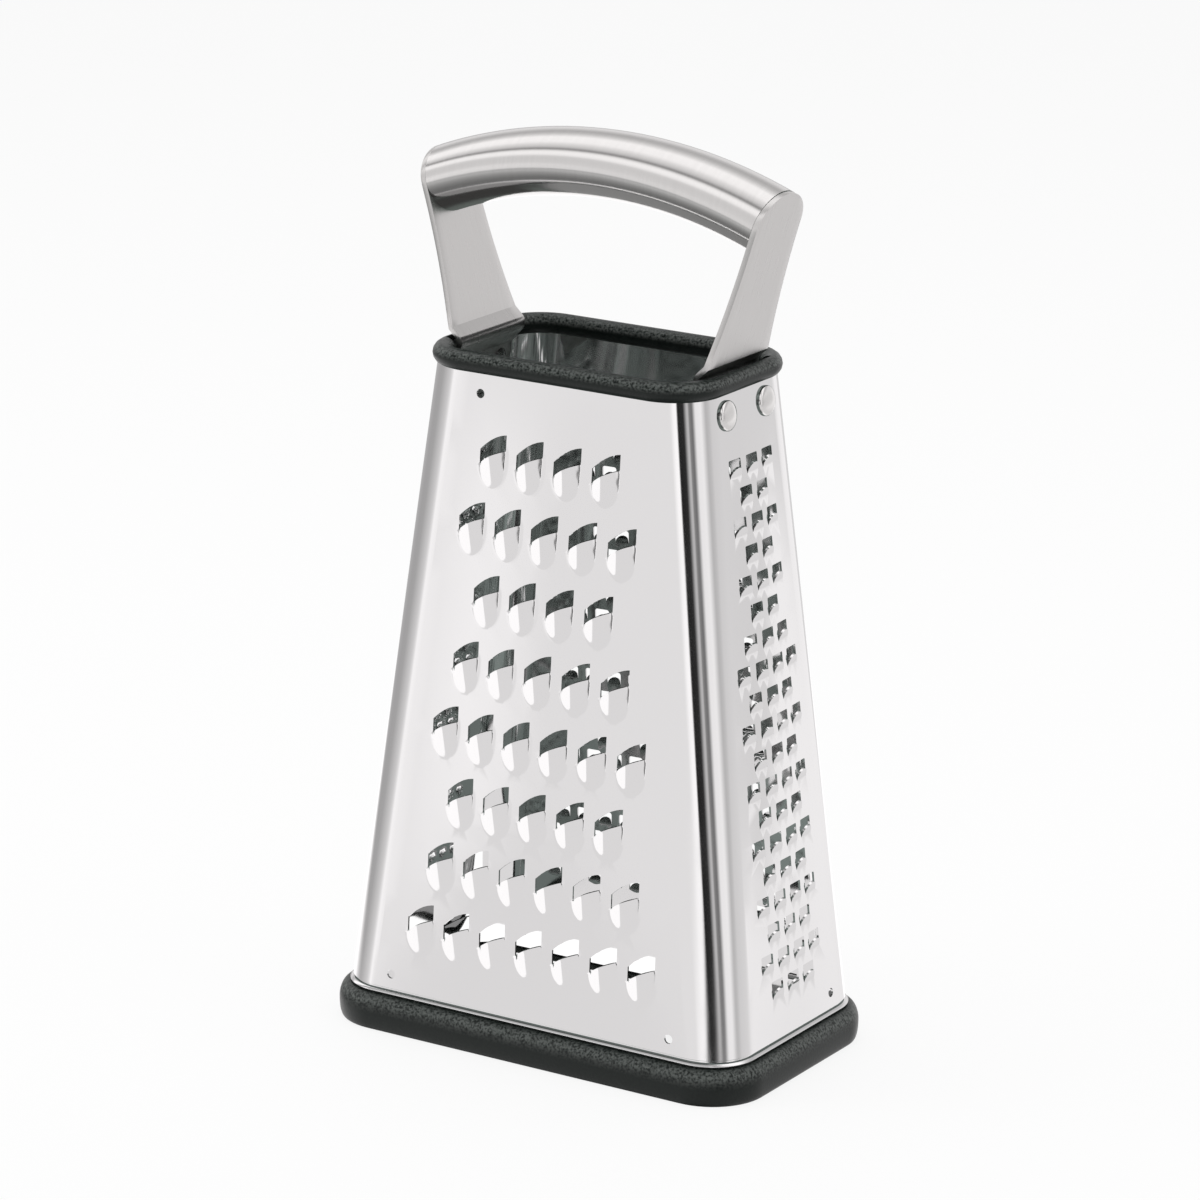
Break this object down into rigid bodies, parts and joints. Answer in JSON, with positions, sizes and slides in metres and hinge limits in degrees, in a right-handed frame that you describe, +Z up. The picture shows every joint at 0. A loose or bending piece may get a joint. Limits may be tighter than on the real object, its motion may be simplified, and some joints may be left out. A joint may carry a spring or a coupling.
{
  "type": "box grater",
  "caption": "Box grater: folded polished sheet body with raised teeth, dark rim and foot ring, and an arched tube handle on riveted straps.",
  "frame": {"origin": "centre of the foot ring's underside, on the surface that the grater stands on", "axes": "+Z up, from the foot ring to the handle; X along the two wide faces, with the handle's straps at +X and -X; -Y towards the coarse face"},
  "size_m": [0.1338, 0.08, 0.25],
  "materials": {
    "polished_steel": "mirror-polished sheet with fine wear",
    "brushed_steel": "brushed satin",
    "rivet_steel": "smooth satin",
    "dark_plastic": "matte, finely textured"
  },
  "bodies": {
    "root": {"body_sheet": "polished_steel", "top_rim": "dark_plastic", "foot_ring": "dark_plastic", "left_strap": "brushed_steel", "right_strap": "brushed_steel", "grip_tube": "brushed_steel", "rivet_left_front": "rivet_steel", "rivet_left_rear": "rivet_steel", "rivet_right_front": "rivet_steel", "rivet_right_rear": "rivet_steel"}
  },
  "joints": []
}
